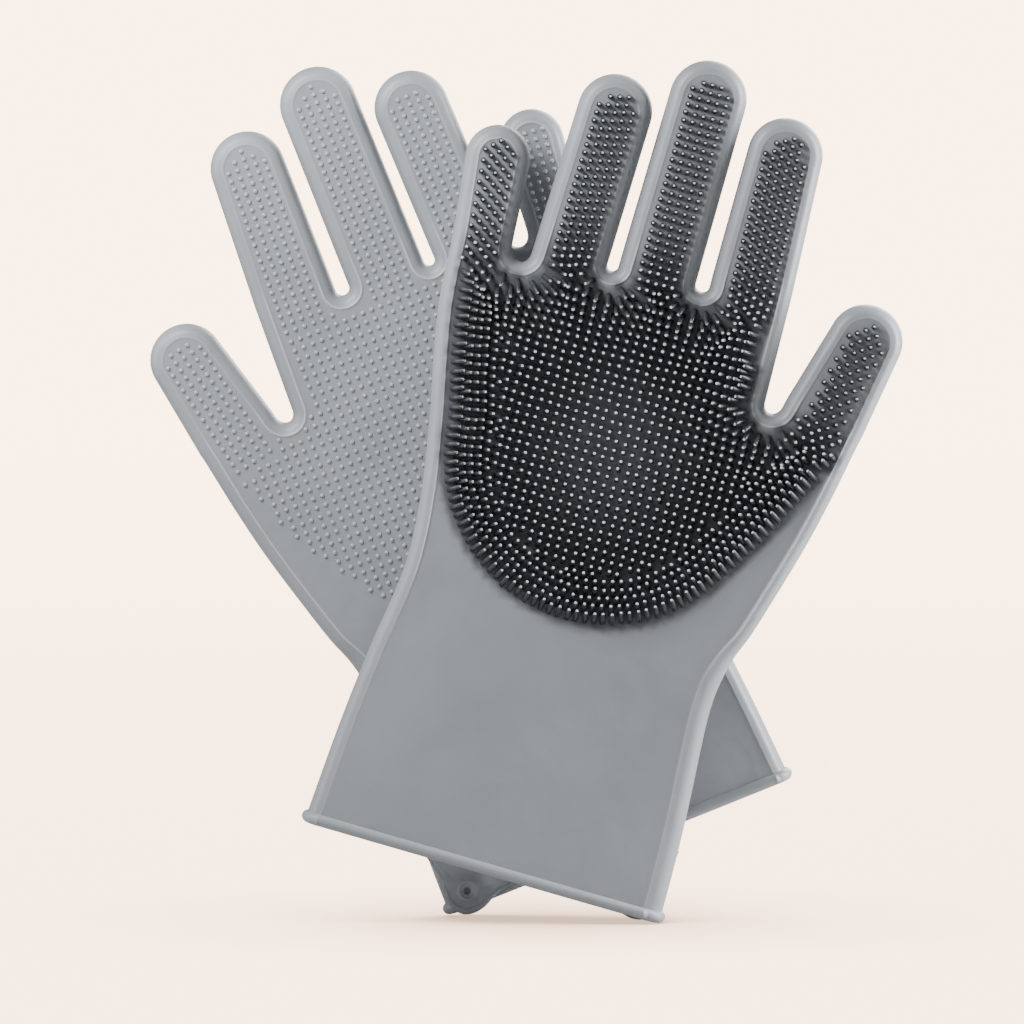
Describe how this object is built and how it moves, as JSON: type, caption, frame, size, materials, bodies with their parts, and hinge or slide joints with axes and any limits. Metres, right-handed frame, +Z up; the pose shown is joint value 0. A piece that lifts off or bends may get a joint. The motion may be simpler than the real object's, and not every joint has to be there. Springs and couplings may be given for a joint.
{
  "type": "silicone scrubbing gloves",
  "caption": "Crossed silicone scrubbing gloves with bristled palms and fingers, dotted backs, long cuffs with rolled rims and ringed hanging tabs; the wrists and digits flex.",
  "frame": {"origin": "middle of the front glove's cuff mouth, where the hand goes in", "axes": "+Z up towards the fingertips, +X towards the front glove's thumb, -Y out of the front glove's palm"},
  "size_m": [0.3121, 0.058, 0.3572],
  "materials": {
    "palm": "satin moulded silicone",
    "back": "satin moulded silicone",
    "cuff": "satin moulded silicone",
    "bristle": "satin moulded silicone",
    "dot": "satin moulded silicone"
  },
  "bodies": {
    "front_cuff": {"front_gauntlet_palm": "cuff", "front_gauntlet_back": "cuff", "front_cuff_bead": "cuff", "front_hang_tab": "cuff", "front_wrist_flex": "cuff"},
    "front_hand": {"front_palm_skin": "palm", "front_back_skin": "back", "front_palm_bristles": "bristle", "front_back_dots": "dot", "front_thumb_flex": "palm", "front_index_flex": "palm", "front_middle_flex": "palm", "front_ring_flex": "palm", "front_little_flex": "palm"},
    "front_thumb": {"front_thumb_stall": "palm", "front_thumb_bristles": "bristle", "front_thumb_dots": "dot"},
    "front_index": {"front_index_stall": "palm", "front_index_bristles": "bristle", "front_index_dots": "dot"},
    "front_middle": {"front_middle_stall": "palm", "front_middle_bristles": "bristle", "front_middle_dots": "dot"},
    "front_ring": {"front_ring_stall": "palm", "front_ring_bristles": "bristle", "front_ring_dots": "dot"},
    "front_little": {"front_little_stall": "palm", "front_little_bristles": "bristle", "front_little_dots": "dot"},
    "rear_cuff": {"rear_gauntlet_palm": "cuff", "rear_gauntlet_back": "cuff", "rear_cuff_bead": "cuff", "rear_hang_tab": "cuff", "rear_wrist_flex": "cuff"},
    "rear_hand": {"rear_palm_skin": "palm", "rear_back_skin": "back", "rear_palm_bristles": "bristle", "rear_back_dots": "dot", "rear_thumb_flex": "palm", "rear_index_flex": "palm", "rear_middle_flex": "palm", "rear_ring_flex": "palm", "rear_little_flex": "palm"},
    "rear_thumb": {"rear_thumb_stall": "palm", "rear_thumb_bristles": "bristle", "rear_thumb_dots": "dot"},
    "rear_index": {"rear_index_stall": "palm", "rear_index_bristles": "bristle", "rear_index_dots": "dot"},
    "rear_middle": {"rear_middle_stall": "palm", "rear_middle_bristles": "bristle", "rear_middle_dots": "dot"},
    "rear_ring": {"rear_ring_stall": "palm", "rear_ring_bristles": "bristle", "rear_ring_dots": "dot"},
    "rear_little": {"rear_little_stall": "palm", "rear_little_bristles": "bristle", "rear_little_dots": "dot"}
  },
  "joints": [
    {"name": "front_wrist_bend", "type": "hinge", "parent": "front_cuff", "child": "front_hand", "pos_m": [0.03006, 0, 0.09332], "axis": [0.9608, 0, -0.2773], "range_deg": [0, 45], "stiffness_Nm_per_rad": 0.6, "deforming": ["front_wrist_flex"]},
    {"name": "front_thumb_bend", "type": "hinge", "parent": "front_hand", "child": "front_thumb", "pos_m": [0.14116, 0, 0.18615], "axis": [0.8821, 0, -0.471], "range_deg": [0, 55], "stiffness_Nm_per_rad": 0.05, "deforming": ["front_thumb_flex"]},
    {"name": "front_index_bend", "type": "hinge", "parent": "front_hand", "child": "front_index", "pos_m": [0.11109, 0, 0.24063], "axis": [0.9699, 0, -0.2436], "range_deg": [0, 65], "stiffness_Nm_per_rad": 0.05, "deforming": ["front_index_flex"]},
    {"name": "front_middle_bend", "type": "hinge", "parent": "front_hand", "child": "front_middle", "pos_m": [0.07362, 0, 0.25145], "axis": [0.9608, 0, -0.2773], "range_deg": [0, 65], "stiffness_Nm_per_rad": 0.06, "deforming": ["front_middle_flex"]},
    {"name": "front_ring_bend", "type": "hinge", "parent": "front_hand", "child": "front_ring", "pos_m": [0.03827, 0, 0.26061], "axis": [0.9558, 0, -0.294], "range_deg": [0, 65], "stiffness_Nm_per_rad": 0.05, "deforming": ["front_ring_flex"]},
    {"name": "front_little_bend", "type": "hinge", "parent": "front_hand", "child": "front_little", "pos_m": [0.00031, 0, 0.26324], "axis": [0.9829, 0, -0.184], "range_deg": [0, 65], "stiffness_Nm_per_rad": 0.03, "deforming": ["front_little_flex"]},
    {"name": "rear_glove_slide", "type": "slide", "parent": "front_cuff", "child": "rear_cuff", "axis": [0, 1, 0], "range_m": [0, 0.12]},
    {"name": "rear_wrist_bend", "type": "hinge", "parent": "rear_cuff", "child": "rear_hand", "pos_m": [0.01636, 0.026, 0.09811], "axis": [-0.9278, 0, -0.373], "range_deg": [0, 45], "stiffness_Nm_per_rad": 0.6, "deforming": ["rear_wrist_flex"]},
    {"name": "rear_thumb_bend", "type": "hinge", "parent": "rear_hand", "child": "rear_thumb", "pos_m": [-0.10355, 0.026, 0.17924], "axis": [-0.83, 0, -0.5577], "range_deg": [0, 55], "stiffness_Nm_per_rad": 0.05, "deforming": ["rear_thumb_flex"]},
    {"name": "rear_index_bend", "type": "hinge", "parent": "rear_hand", "child": "rear_index", "pos_m": [-0.07914, 0.026, 0.23647], "axis": [-0.9403, 0, -0.3404], "range_deg": [0, 65], "stiffness_Nm_per_rad": 0.05, "deforming": ["rear_index_flex"]},
    {"name": "rear_middle_bend", "type": "hinge", "parent": "rear_hand", "child": "rear_middle", "pos_m": [-0.04295, 0.026, 0.25102], "axis": [-0.9278, 0, -0.373], "range_deg": [0, 65], "stiffness_Nm_per_rad": 0.06, "deforming": ["rear_middle_flex"]},
    {"name": "rear_ring_bend", "type": "hinge", "parent": "rear_hand", "child": "rear_ring", "pos_m": [-0.00871, 0.026, 0.26371], "axis": [-0.9212, 0, -0.3891], "range_deg": [0, 65], "stiffness_Nm_per_rad": 0.05, "deforming": ["rear_ring_flex"]},
    {"name": "rear_little_bend", "type": "hinge", "parent": "rear_hand", "child": "rear_little", "pos_m": [0.02879, 0.026, 0.27016], "axis": [-0.9593, 0, -0.2823], "range_deg": [0, 65], "stiffness_Nm_per_rad": 0.03, "deforming": ["rear_little_flex"]}
  ]
}
